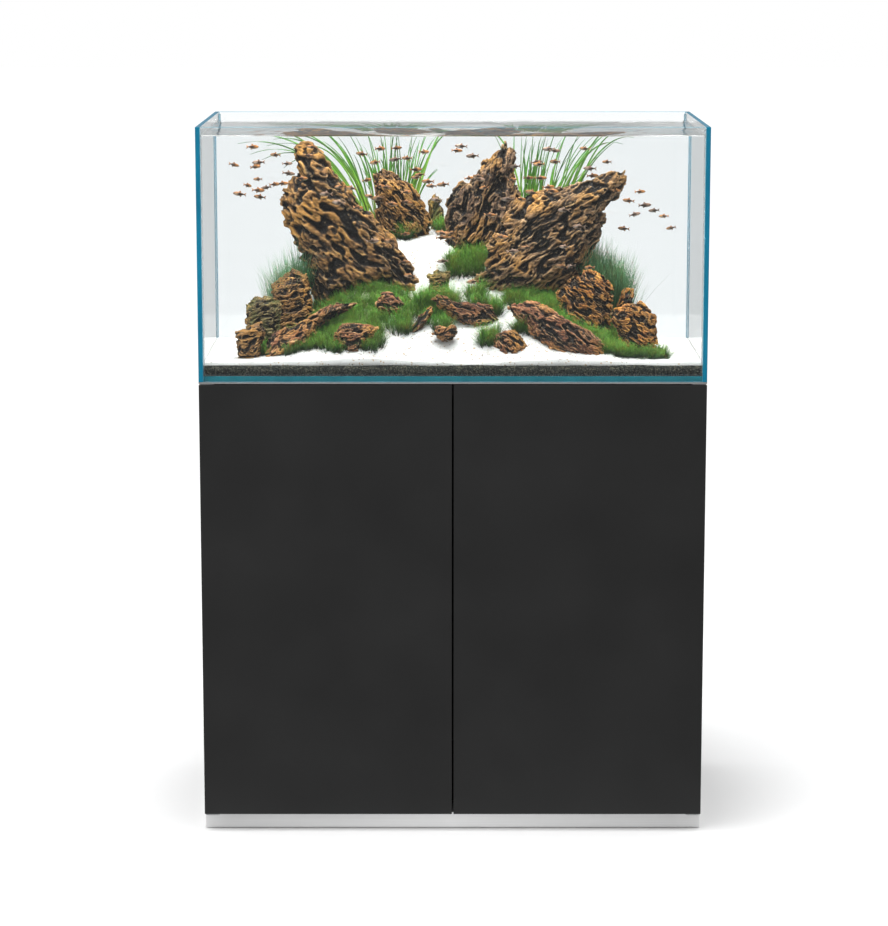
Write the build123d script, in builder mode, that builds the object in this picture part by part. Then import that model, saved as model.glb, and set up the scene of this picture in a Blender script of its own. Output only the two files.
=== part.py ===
from build123d import *
import math
import os

# Aquarium on a two-door cabinet. Millimetres, +Z up, +X to the right, front towards -Y.
# The origin is on the floor under the middle of the cabinet.

# ---------------------------------------------------------------- driving sizes
tank_length = 900.0
tank_depth = 450.0
tank_height = 450.0
wall_pane = 8.0
base_pane = 10.0
rim_chamfer = 0.6
silicone_leg = 3.0
silicone_below_rim = 4.0
mat_thickness = 3.0

cabinet_height = 823.0
side_board = 19.0
top_board = 25.0
bottom_board = 19.0
back_board = 19.0

door_thickness = 19.0
door_gap = 3.0
door_relief = 1.6
door_rounding = 1.0
door_end_clearance = 0.5

plinth_height = 30.0
plinth_board = 16.0
floor_gap = 2.0
foot_radius = 16.0
foot_pad = 6.0
foot_stem_radius = 4.0
foot_stem_depth = 14.0
foot_inset = 40.0

hinge_plate = 2.0
hinge_plate_width = 26.0
hinge_plate_tail = 32.0
hinge_plate_nose = 6.5
hinge_plate_corner = 4.0
hinge_plate_inset = 1.0
hinge_pin_radius = 2.5
hinge_pin_clearance = 0.05
hinge_pin_grip = 11.0
hinge_bush_radius = 4.0
hinge_bush_length = 12.0
hinge_flange_radius = 4.8
hinge_flange = 0.4
hinge_edge = 5.1
hinge_screw_inset = 9.0
hinge_screw_pitch = 14.0

screw_radius = 1.75
screw_head_radius = 3.4
screw_head = 1.9
screw_length = 15.0
plinth_screw_length = 40.0

dowel_radius = 4.0
dowel_length = 32.0
dowel_in_side = 12.0
dowel_shares = (-0.36, 0.0, 0.36)
plinth_side_shares = (-0.2, 0.2)
plinth_front_shares = (-0.3, 0.0, 0.3)
back_dowel_shares = (0.2, 0.5, 0.8)
catch_screw_shares = (0.35, 0.75)

catch_width = 14.0
catch_length = 42.0
catch_height = 12.0
catch_offset = 28.0
catch_air = 0.4
strike_radius = 7.0
strike_thickness = 1.0

port_bore_radius = 26.0
port_hole_radius = 30.0
port_flange_radius = 34.0
port_flange = 2.0
port_offset = 300.0
port_height = 640.0

soil_layer_depth = 18.0
sand_front = 6.0
carpet_height = 26.0
tall_grass_height = 125.0
plant_air = 0.5
water_below_rim = 17.0

# The planted layout is drawn for a tank of this length, depth and height, and stretches with the tank.
drawn_length = 900.0
drawn_depth = 450.0
drawn_height = 450.0
drawn_plateau = 130.0
drawn_flat = 375.0
drawn_bank = ((0.0, 0.0), (200.0, 122.0), (265.0, 196.0))
drawn_bank_top = 218.0
drawn_narrowing = 0.13

# ---------------------------------------------------------------- derived places
half_length = tank_length / 2
half_depth = tank_depth / 2
inner_x = half_length - wall_pane
inner_y = half_depth - wall_pane
tank_bottom = cabinet_height + mat_thickness
tank_floor = tank_bottom + base_pane
tank_top = tank_bottom + tank_height
soil_top = tank_floor + soil_layer_depth
water_level = tank_top - water_below_rim

carcass_front = -half_depth + door_thickness + door_relief
carcass_back = half_depth
carcass_y = (carcass_front + carcass_back) / 2
carcass_depth = carcass_back - carcass_front
side_bottom = plinth_height + bottom_board
side_top = cabinet_height - top_board
side_inner = half_length - side_board

door_back = -half_depth + door_thickness
door_bottom = plinth_height + hinge_plate + door_end_clearance
door_top = cabinet_height - hinge_plate - door_end_clearance
hinge_x = half_length - hinge_edge
hinge_y = -half_depth + door_thickness / 2

stretch_x = tank_length / drawn_length
stretch_y = tank_depth / drawn_depth
stretch_z = tank_height / drawn_height

pieces = {}


# ---------------------------------------------------------------- shared shapes
def block(x_range, y_range, z_range):
    """A plain rectangular block between the given limits."""
    middle = [(low + high) / 2 for low, high in (x_range, y_range, z_range)]
    size = [high - low for low, high in (x_range, y_range, z_range)]
    with BuildPart() as piece:
        with Locations(tuple(middle)):
            Box(*size)
    return piece


def without(piece, *others):
    """The piece with the room of the others taken out of it."""
    with BuildPart() as trimmed:
        add(piece.part)
        for other in others:
            add(other.part, mode=Mode.SUBTRACT)
    return trimmed


def countersunk_screw(x, y, head_z, length, direction):
    """A countersunk screw whose flat head lies at head_z and whose shank runs along direction (+1 or -1)."""
    cone_turn = 0 if direction < 0 else 180
    with Locations(Location((x, y, head_z + direction * screw_head / 2), (cone_turn, 0, 0))):
        Cone(screw_radius, screw_head_radius, screw_head)
    with Locations((x, y, head_z + direction * (screw_head + length) / 2)):
        Cylinder(screw_radius, length - screw_head)


# ---------------------------------------------------------------- tank: five panes, silicone and mat
def side_pane(side):
    low, high = sorted((side * inner_x, side * half_length))
    with BuildPart() as pane:
        add(block((low, high), (-half_depth, half_depth), (tank_bottom, tank_top)).part)
        chamfer(pane.edges().group_by(Axis.Z)[-1], rim_chamfer)
    return pane


def long_pane(side):
    low, high = sorted((side * inner_y, side * half_depth))
    with BuildPart() as pane:
        add(block((-inner_x, inner_x), (low, high), (tank_bottom, tank_top)).part)
        chamfer(pane.edges().group_by(Axis.Z)[-1].filter_by(Axis.X), rim_chamfer)
    return pane


pieces["tank_side_pane_left"] = side_pane(-1)
pieces["tank_side_pane_right"] = side_pane(1)
pieces["tank_front_pane"] = long_pane(-1)
pieces["tank_back_pane"] = long_pane(1)
pieces["tank_base_pane"] = block((-inner_x, inner_x), (-inner_y, inner_y), (tank_bottom, tank_floor))

with BuildPart() as tank_silicone:
    bead_top = tank_floor + silicone_leg
    for x_side in (-1, 1):
        for y_side in (-1, 1):
            with BuildSketch(Plane.XY.offset(bead_top)):
                with BuildLine():
                    Polyline(
                        (x_side * inner_x, y_side * inner_y),
                        (x_side * (inner_x - silicone_leg), y_side * inner_y),
                        (x_side * inner_x, y_side * (inner_y - silicone_leg)),
                        close=True,
                    )
                make_face()
            extrude(amount=tank_top - silicone_below_rim - bead_top)
    for y_side in (-1, 1):
        with BuildSketch(Plane.YZ.offset(-inner_x)):
            with BuildLine():
                Polyline(
                    (y_side * inner_y, tank_floor),
                    (y_side * (inner_y - silicone_leg), tank_floor),
                    (y_side * inner_y, bead_top),
                    close=True,
                )
            make_face()
        extrude(amount=2 * inner_x)
    for x_side in (-1, 1):
        with BuildSketch(Plane.XZ.offset(silicone_leg - inner_y)):
            with BuildLine():
                Polyline(
                    (x_side * inner_x, tank_floor),
                    (x_side * (inner_x - silicone_leg), tank_floor),
                    (x_side * inner_x, bead_top),
                    close=True,
                )
            make_face()
        extrude(amount=2 * (inner_y - silicone_leg))
pieces["tank_silicone"] = tank_silicone

pieces["tank_mat"] = block(
    (-half_length, half_length), (-half_depth, half_depth), (cabinet_height, tank_bottom),
)

# ---------------------------------------------------------------- fasteners, feet and hinge hardware
with BuildPart() as levelling_feet:
    foot_y = (carcass_front + foot_inset, carcass_back - foot_inset)
    for x in (foot_inset - half_length, 0, half_length - foot_inset):
        for y in foot_y:
            with Locations((x, y, foot_pad / 2)):
                Cylinder(foot_radius, foot_pad)
            stem = plinth_height + foot_stem_depth - foot_pad
            with Locations((x, y, foot_pad + stem / 2)):
                Cylinder(foot_stem_radius, stem)
pieces["levelling_feet"] = levelling_feet

with BuildPart() as carcass_dowels:
    dowel_x = half_length - side_board / 2
    dowel_rows = [carcass_y + share * carcass_depth for share in dowel_shares]
    for x in (-dowel_x, dowel_x):
        for y in dowel_rows:
            for z in (side_bottom, side_top):
                with Locations((x, y, z)):
                    Cylinder(dowel_radius, dowel_length)
    back_y = carcass_back - back_board / 2
    back_x = side_inner + dowel_in_side - dowel_length / 2
    for x in (-back_x, back_x):
        for share in back_dowel_shares:
            z = side_bottom + share * (side_top - side_bottom)
            with Locations(Location((x, back_y, z), (0, 90, 0))):
                Cylinder(dowel_radius, dowel_length)
pieces["carcass_dowels"] = carcass_dowels

with BuildPart() as plinth_screws:
    rail_y = (carcass_front + plinth_board / 2, carcass_back - plinth_board / 2)
    for x in [share * tank_length for share in plinth_front_shares]:
        for y in rail_y:
            countersunk_screw(x, y, side_bottom, plinth_screw_length, -1)
    for x in (plinth_board / 2 - half_length, half_length - plinth_board / 2):
        for share in plinth_side_shares:
            countersunk_screw(x, carcass_y + share * carcass_depth, side_bottom, plinth_screw_length, -1)
pieces["plinth_screws"] = plinth_screws

hinge_ends = ((cabinet_height, -1), (plinth_height, 1))

with BuildPart() as hinge_screws:
    for side in (-1, 1):
        x = side * (half_length - hinge_plate_inset - hinge_plate_width / 2)
        for head_z, direction in hinge_ends:
            for step in (0, 1):
                y = carcass_front + hinge_screw_inset + step * hinge_screw_pitch
                countersunk_screw(x, y, head_z, screw_length, direction)
pieces["hinge_screws"] = hinge_screws

with BuildPart() as hinge_pins:
    for side in (-1, 1):
        for outer_z, direction in hinge_ends:
            length = hinge_plate + door_end_clearance + hinge_pin_grip
            with Locations((side * hinge_x, hinge_y, outer_z + direction * length / 2)):
                Cylinder(hinge_pin_radius, length)
pieces["hinge_pins"] = hinge_pins

with BuildPart() as hinge_plate_blanks:
    plate_front = hinge_y - hinge_plate_nose
    plate_back = carcass_front + hinge_plate_tail
    for side in (-1, 1):
        x = side * (half_length - hinge_plate_inset - hinge_plate_width / 2)
        for outer_z, direction in hinge_ends:
            with BuildSketch(Plane.XY.offset(min(outer_z, outer_z + direction * hinge_plate))):
                with Locations((x, (plate_front + plate_back) / 2)):
                    RectangleRounded(hinge_plate_width, plate_back - plate_front, hinge_plate_corner)
            extrude(amount=hinge_plate)
pieces["hinge_plates"] = without(hinge_plate_blanks, hinge_pins, hinge_screws)

# ---------------------------------------------------------------- magnetic catches
with BuildPart() as catch_screws:
    for side in (-1, 1):
        for share in catch_screw_shares:
            y = carcass_front + share * catch_length
            length = screw_length + catch_height
            countersunk_screw(side * catch_offset, y, side_top - catch_height, length, 1)
pieces["catch_screws"] = catch_screws

with BuildPart() as catch_blanks:
    catch_front = door_back + catch_air
    catch_back = carcass_front + catch_length
    for side in (-1, 1):
        with Locations((side * catch_offset, (catch_front + catch_back) / 2, side_top - catch_height / 2)):
            Box(catch_width, catch_back - catch_front, catch_height)
    fillet(catch_blanks.edges().filter_by(Axis.Z), rim_chamfer)
pieces["magnetic_catches"] = without(catch_blanks, catch_screws)

# ---------------------------------------------------------------- cabinet carcass and plinth
carcass_y_range = (carcass_front, carcass_back)
full_x_range = (-half_length, half_length)


def carcass_side(side):
    low, high = sorted((side * side_inner, side * half_length))
    return without(block((low, high), carcass_y_range, (side_bottom, side_top)), carcass_dowels)


def port_plane(x):
    """A plane on the back of the cabinet at a hose port, whose normal points into the cabinet."""
    return Plane(origin=(x, carcass_back, port_height), x_dir=(1, 0, 0), z_dir=(0, -1, 0))


with BuildPart() as port_grommets:
    for x in (-port_offset, port_offset):
        with BuildSketch(port_plane(x)):
            Circle(port_flange_radius)
        extrude(amount=port_flange)
        with BuildSketch(port_plane(x)):
            Circle(port_hole_radius)
        extrude(amount=back_board)
        with BuildSketch(port_plane(x)):
            Circle(port_bore_radius)
        extrude(amount=back_board, mode=Mode.SUBTRACT)
pieces["port_grommets"] = port_grommets

pieces["carcass_side_left"] = carcass_side(-1)
pieces["carcass_side_right"] = carcass_side(1)
pieces["carcass_top"] = without(
    block(full_x_range, carcass_y_range, (side_top, cabinet_height)),
    carcass_dowels, hinge_plate_blanks, hinge_screws, catch_screws,
)
pieces["carcass_bottom"] = without(
    block(full_x_range, carcass_y_range, (plinth_height, side_bottom)),
    carcass_dowels, hinge_plate_blanks, hinge_screws, plinth_screws, levelling_feet,
)

with BuildPart() as carcass_back_panel:
    back_range = (carcass_back - back_board, carcass_back)
    add(block((-side_inner, side_inner), back_range, (side_bottom, side_top)).part)
    add(carcass_dowels.part, mode=Mode.SUBTRACT)
    for x in (-port_offset, port_offset):
        with BuildSketch(port_plane(x)):
            Circle(port_flange_radius)
        extrude(amount=port_flange, mode=Mode.SUBTRACT)
        with BuildSketch(port_plane(x)):
            Circle(port_hole_radius)
        extrude(amount=back_board, mode=Mode.SUBTRACT)
pieces["carcass_back"] = carcass_back_panel

plinth_z_range = (floor_gap, plinth_height)
plinth_front_back = carcass_front + plinth_board
plinth_rear_front = carcass_back - plinth_board
pieces["plinth_front"] = without(
    block(full_x_range, (carcass_front, plinth_front_back), plinth_z_range), plinth_screws,
)
pieces["plinth_rear"] = without(
    block(full_x_range, (plinth_rear_front, carcass_back), plinth_z_range), plinth_screws,
)
for side, name in ((-1, "plinth_side_left"), (1, "plinth_side_right")):
    edge_range = sorted((side * half_length, side * (half_length - plinth_board)))
    board = block(edge_range, (plinth_front_back, plinth_rear_front), plinth_z_range)
    pieces[name] = without(board, plinth_screws)


# ---------------------------------------------------------------- doors with their bushes and strike plates
def door_panel(side):
    low, high = sorted((side * door_gap / 2, side * half_length))
    with BuildPart() as door:
        add(block((low, high), (-half_depth, door_back), (door_bottom, door_top)).part)
        fillet(door.edges(), door_rounding)
        for z, inward in ((door_top, -1), (door_bottom, 1)):
            with Locations((side * hinge_x, hinge_y, z + inward * hinge_bush_length / 2)):
                Cylinder(hinge_bush_radius, hinge_bush_length, mode=Mode.SUBTRACT)
        with BuildSketch(strike_plane(side)):
            Circle(strike_radius)
        extrude(amount=strike_thickness, mode=Mode.SUBTRACT)
    return door


def strike_plane(side):
    """A plane on the back of a door at its strike plate, whose normal points into the door."""
    place = (side * catch_offset, door_back, side_top - catch_height / 2)
    return Plane(origin=place, x_dir=(1, 0, 0), z_dir=(0, -1, 0))


def strike_plate(side):
    with BuildPart() as plate:
        with BuildSketch(strike_plane(side)):
            Circle(strike_radius)
        extrude(amount=strike_thickness)
    return plate


def door_bushes(side):
    with BuildPart() as bushes:
        for z, inward in ((door_top, -1), (door_bottom, 1)):
            with Locations((side * hinge_x, hinge_y, z + inward * hinge_bush_length / 2)):
                Cylinder(hinge_bush_radius, hinge_bush_length)
            with Locations((side * hinge_x, hinge_y, z - inward * hinge_flange / 2)):
                Cylinder(hinge_flange_radius, hinge_flange)
            bore_length = hinge_bush_length + hinge_flange
            with Locations((side * hinge_x, hinge_y, z + inward * (bore_length / 2 - hinge_flange))):
                Cylinder(hinge_pin_radius + hinge_pin_clearance, bore_length, mode=Mode.SUBTRACT)
    return bushes


for side, hand in ((-1, "left"), (1, "right")):
    pieces["door_" + hand] = door_panel(side)
    pieces["door_bushes_" + hand] = door_bushes(side)
    pieces["strike_plate_" + hand] = strike_plate(side)


# ---------------------------------------------------------------- planted layout
# Places in the layout are (x from the tank's middle, distance behind the tank's front face) in plan
# and (x, height above the tank's inside floor) in an outline seen from the front.
def layout_x(x, behind_front=0.0):
    """The layout draws in towards the middle as it goes back."""
    return x * stretch_x * (1 - drawn_narrowing * behind_front / drawn_depth)


def layout_y(behind_front):
    return -half_depth + behind_front * stretch_y


def layout_z(height):
    return tank_floor + height * stretch_z


def bank_share(x):
    """How much of the full slope the sand has at x: all of it in the middle, none along the side panes."""
    return min(1, max(0, (drawn_flat - abs(x)) / (drawn_flat - drawn_plateau)))


def ground(rise):
    """The sand's body: a bank in three slopes from front to back, with its surface raised by rise."""
    wall_x = inner_x / stretch_x
    front = soil_top + sand_front + rise
    with BuildPart() as bank:
        for x in (-wall_x, -drawn_flat, -drawn_plateau, drawn_plateau, drawn_flat, wall_x):
            share = bank_share(x) * stretch_z
            surface = [
                (max(-inner_y, layout_y(behind)), front + height * share) for behind, height in drawn_bank
            ]
            with BuildSketch(Plane.YZ.offset(layout_x(x))):
                with BuildLine():
                    Polyline(
                        *surface, (inner_y, front + drawn_bank_top * share), (inner_y, soil_top),
                        (-inner_y, soil_top), close=True,
                    )
                make_face()
        loft(ruled=True)
    return bank


def stone(outline, behind_front, half_thickness, lean, face_share=0.6):
    """A faceted stone: its outline at mid thickness, drawn in by face_share at both faces, leaning back."""
    base = min(height for _, height in outline)
    middle_x = sum(x for x, _ in outline) / len(outline)
    middle_z = sum(height for _, height in outline) / len(outline)
    angle = math.radians(lean)
    plane = Plane(
        origin=(0, layout_y(behind_front), layout_z(base)),
        x_dir=(1, 0, 0),
        z_dir=(0, -math.cos(angle), math.sin(angle)),
    )
    thickness = half_thickness * stretch_y
    with BuildPart() as piece:
        for offset_from_middle, share in ((thickness, face_share), (0, 1), (-thickness, face_share)):
            with BuildSketch(plane.offset(offset_from_middle)):
                with BuildLine():
                    Polyline(
                        *[
                            (
                                layout_x(middle_x + (x - middle_x) * share, behind_front),
                                (middle_z + (height - middle_z) * share - base) * stretch_z,
                            )
                            for x, height in outline
                        ],
                        close=True,
                    )
                make_face()
        loft(ruled=True)
    return piece


def touches(piece, other):
    """Whether the boxes round two pieces overlap."""
    box = piece.part.bounding_box()
    other_box = other.part.bounding_box()
    spans = zip(box.min, box.max, other_box.min, other_box.max)
    return all(low < other_high and other_low < high for low, high, other_low, other_high in spans)


def clear_of(piece, others):
    """The piece with any room it shares with the others taken out."""
    return without(piece, *[other for other in others if touches(piece, other)])


stones = {
    "stone_peak_left": stone(
        [
            (-300, 400), (-275, 405), (-255, 390), (-235, 355), (-200, 315), (-155, 270), (-120, 235),
            (-80, 180), (-62, 145), (-55, 115), (-140, 95), (-250, 60), (-278, 130), (-292, 185),
            (-315, 225), (-332, 275), (-330, 315), (-300, 355), (-308, 390),
        ],
        behind_front=220, half_thickness=42, lean=6,
    ),
    "stone_slab_right": stone(
        [
            (330, 355), (295, 350), (225, 325), (155, 320), (115, 295), (65, 215), (60, 175),
            (40, 160), (60, 120), (105, 110), (140, 110), (215, 140), (245, 160), (275, 215),
            (295, 260), (290, 280), (320, 305), (332, 335),
        ],
        behind_front=195, half_thickness=38, lean=6,
    ),
    "stone_peak_right": stone(
        [
            (105, 400), (75, 370), (60, 365), (25, 310), (20, 330), (-10, 305), (-15, 270), (-15, 180),
            (5, 165), (110, 165), (135, 300), (120, 345), (125, 380), (115, 390),
        ],
        behind_front=278, half_thickness=36, lean=4,
    ),
    "stone_shoulder_left": stone(
        [
            (-160, 340), (-145, 350), (-120, 340), (-85, 320), (-55, 280), (-40, 245), (-65, 195),
            (-140, 190), (-158, 275), (-160, 315),
        ],
        behind_front=330, half_thickness=34, lean=0,
    ),
    "stone_back_small": stone(
        [(-35, 300), (-50, 285), (-45, 220), (-15, 220), (-17, 260), (-25, 290)],
        behind_front=380, half_thickness=12, lean=0,
    ),
    "stone_ochre_left": stone(
        [(-345, 147), (-325, 162), (-305, 177), (-275, 167), (-262, 82), (-272, 20), (-335, 20), (-342, 92)],
        behind_front=170, half_thickness=24, lean=10,
    ),
    "stone_round_left": stone(
        [(-390, 112), (-370, 132), (-335, 130), (-320, 117), (-328, 20), (-375, 20), (-388, 87)],
        behind_front=130, half_thickness=20, lean=10,
    ),
    "stone_block_left": stone(
        [(-397, 72), (-350, 90), (-340, 77), (-355, 20), (-392, 20)],
        behind_front=75, half_thickness=20, lean=12,
    ),
    "stone_long_left": stone(
        [
            (-342, 62), (-325, 82), (-295, 87), (-265, 107), (-212, 144), (-170, 142), (-225, 117),
            (-240, 92), (-270, 47), (-320, 20), (-338, 30),
        ],
        behind_front=55, half_thickness=16, lean=35,
    ),
    "stone_front_left": stone(
        [(-200, 94), (-175, 97), (-135, 87), (-150, 62), (-165, 30), (-190, 22), (-208, 57), (-216, 72)],
        behind_front=35, half_thickness=18, lean=25,
    ),
    "stone_middle_left": stone(
        [(-145, 117), (-132, 140), (-110, 139), (-88, 117), (-100, 92), (-135, 92)],
        behind_front=125, half_thickness=16, lean=15,
    ),
    "stone_mound_top": stone(
        [(-48, 167), (-30, 177), (-5, 175), (-8, 117), (-42, 117)],
        behind_front=160, half_thickness=14, lean=10,
    ),
    "stone_shard": stone(
        [(-40, 124), (-60, 107), (-82, 74), (-70, 62), (-50, 90), (-33, 117)],
        behind_front=78, half_thickness=7, lean=30,
    ),
    "stone_log": stone(
        [
            (-42, 127), (-25, 140), (0, 124), (40, 124), (72, 117), (92, 87), (85, 74), (55, 70),
            (30, 74), (-5, 97),
        ],
        behind_front=108, half_thickness=16, lean=15,
    ),
    "stone_pebble": stone(
        [(-38, 72), (-32, 88), (-15, 82), (2, 88), (12, 76), (0, 60), (-20, 56)],
        behind_front=55, half_thickness=13, lean=20,
    ),
    "stone_front_middle": stone(
        [(73, 74), (105, 88), (120, 78), (137, 50), (120, 24), (92, 24), (75, 52)],
        behind_front=35, half_thickness=15, lean=30,
    ),
    "stone_front_right": stone(
        [
            (100, 132), (120, 142), (155, 142), (182, 122), (222, 94), (252, 80), (278, 52), (262, 26),
            (222, 24), (185, 30), (142, 74), (132, 100), (105, 117),
        ],
        behind_front=38, half_thickness=22, lean=32,
    ),
    "stone_shoulder_right": stone(
        [(250, 180), (225, 167), (195, 137), (205, 62), (292, 30), (302, 142), (285, 170)],
        behind_front=140, half_thickness=22, lean=10,
    ),
    "stone_side_right": stone(
        [(315, 117), (328, 142), (348, 139), (340, 20), (316, 20)],
        behind_front=190, half_thickness=12, lean=0,
    ),
    "stone_ochre_right": stone(
        [
            (288, 110), (320, 122), (346, 127), (372, 102), (376, 52), (355, 20), (315, 20), (302, 72),
            (290, 92),
        ],
        behind_front=85, half_thickness=22, lean=15,
    ),
}

placed_stones = []
for name, rough_stone in stones.items():
    pieces[name] = clear_of(rough_stone, placed_stones)
    placed_stones.append(pieces[name])

bare_ground = ground(0)
inside_x_range = (-inner_x, inner_x)
inside_y_range = (-inner_y, inner_y)
pieces["soil_layer"] = without(block(inside_x_range, inside_y_range, (tank_floor, soil_top)), tank_silicone)
pieces["sand_bed"] = without(bare_ground, tank_silicone, *placed_stones)


def grass(patches, rise, others=()):
    """Mats of grass over the sand: each patch is a plan outline, and the grass stands rise above it."""
    with BuildPart() as mats:
        for patch in patches:
            with BuildSketch(Plane.XY.offset(soil_top)):
                with BuildLine():
                    Polyline(*[(layout_x(x, behind), layout_y(behind)) for x, behind in patch], close=True)
                make_face()
            extrude(amount=tank_height)
        add(ground(rise).part, mode=Mode.INTERSECT)
        add(ground(plant_air).part, mode=Mode.SUBTRACT)
    return clear_of(mats, [*placed_stones, *others, bare_ground])


def leaf_clump(outline, behind_front, half_thickness):
    """The room taken by tall leaves that grow from the sand to the surface of the water."""
    plane = Plane(origin=(0, layout_y(behind_front), tank_floor), x_dir=(1, 0, 0), z_dir=(0, -1, 0))
    with BuildPart() as clump:
        with BuildSketch(plane):
            with BuildLine():
                Polyline(
                    *[
                        (layout_x(x, behind_front), min(height * stretch_z, water_level - tank_floor))
                        for x, height in outline
                    ],
                    close=True,
                )
            make_face()
        extrude(amount=half_thickness * stretch_y, both=True)
        add(ground(plant_air).part, mode=Mode.SUBTRACT)
    return clear_of(clump, placed_stones)


pieces["tall_grass_left"] = grass([[(-365, 200), (-270, 190), (-268, 235), (-355, 245)]], tall_grass_height)
pieces["tall_grass_right"] = grass([[(250, 205), (350, 200), (372, 235), (262, 250)]], tall_grass_height)
pieces["hairgrass_left"] = grass(
    [
        [
            (-362, 75), (-300, 50), (-262, 60), (-215, 28), (-135, 32), (-110, 66), (-75, 72),
            (-62, 92), (-10, 125), (6, 175), (-20, 192), (-150, 205), (-300, 222), (-360, 212),
            (-374, 120),
        ],
    ],
    carpet_height,
    [pieces["tall_grass_left"]],
)
pieces["hairgrass_right"] = grass(
    [
        [
            (95, 150), (140, 130), (190, 100), (262, 45), (300, 38), (368, 55), (392, 85), (390, 120),
            (360, 195), (300, 215), (200, 215), (110, 210),
        ],
    ],
    carpet_height,
    [pieces["tall_grass_right"]],
)
pieces["hairgrass_path"] = grass(
    [
        [(-35, 85), (-8, 82), (-4, 104), (-30, 106)],
        [(48, 52), (82, 50), (88, 72), (55, 76)],
        [(30, 122), (88, 120), (90, 146), (34, 148)],
        [(112, 72), (140, 72), (138, 95), (115, 92)],
        [(30, 160), (62, 158), (62, 182), (32, 184)],
        [(-12, 222), (62, 212), (70, 245), (-10, 248)],
        [(-30, 330), (-8, 330), (-8, 368), (-30, 368)],
        [(-120, 298), (-80, 292), (-78, 325), (-116, 330)],
    ],
    carpet_height,
)
pieces["vallisneria_left"] = leaf_clump(
    [(-205, 150), (-100, 150), (-60, 330), (-20, 450), (-360, 450), (-300, 390), (-215, 280)],
    behind_front=395, half_thickness=22,
)
pieces["vallisneria_right"] = leaf_clump(
    [(130, 150), (235, 150), (290, 300), (390, 450), (110, 450), (115, 300)],
    behind_front=385, half_thickness=28,
)

# ---------------------------------------------------------------- export
os.makedirs("parts", exist_ok=True)
for name, piece in pieces.items():
    piece.part.label = name
    export_step(piece.part, "parts/" + name + ".step")
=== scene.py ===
import math
import random

import bmesh
import bpy
import numpy as np
from mathutils import Matrix, Vector, noise
from mathutils.bvhtree import BVHTree


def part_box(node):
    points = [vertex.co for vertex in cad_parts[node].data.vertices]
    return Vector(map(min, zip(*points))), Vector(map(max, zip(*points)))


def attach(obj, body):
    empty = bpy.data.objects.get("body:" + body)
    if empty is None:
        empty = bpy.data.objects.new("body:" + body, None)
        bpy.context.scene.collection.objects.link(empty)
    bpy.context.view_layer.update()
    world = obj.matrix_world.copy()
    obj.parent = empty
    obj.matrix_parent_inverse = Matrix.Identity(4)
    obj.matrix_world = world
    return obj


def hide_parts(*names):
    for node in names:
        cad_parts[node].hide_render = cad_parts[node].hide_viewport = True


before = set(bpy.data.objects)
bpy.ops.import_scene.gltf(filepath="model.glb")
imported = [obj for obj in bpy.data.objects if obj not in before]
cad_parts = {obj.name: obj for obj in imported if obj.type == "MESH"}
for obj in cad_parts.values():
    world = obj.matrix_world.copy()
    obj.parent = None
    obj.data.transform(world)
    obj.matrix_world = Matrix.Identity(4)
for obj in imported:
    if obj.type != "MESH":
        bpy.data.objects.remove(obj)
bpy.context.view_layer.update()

MM = 0.001

# ---------------------------------------------------------------- the tank's places, read from the frame
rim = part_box("tank_front_pane")[1][2]
tank_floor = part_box("tank_base_pane")[1][2]
half_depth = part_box("tank_side_pane_right")[1][1]
inner_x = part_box("tank_side_pane_right")[0][0]
inner_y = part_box("tank_back_pane")[0][1]
soil_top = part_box("soil_layer")[1][2]
WATER_BELOW_RIM = 17 * MM
water_top = rim - WATER_BELOW_RIM
front_face = -half_depth


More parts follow.
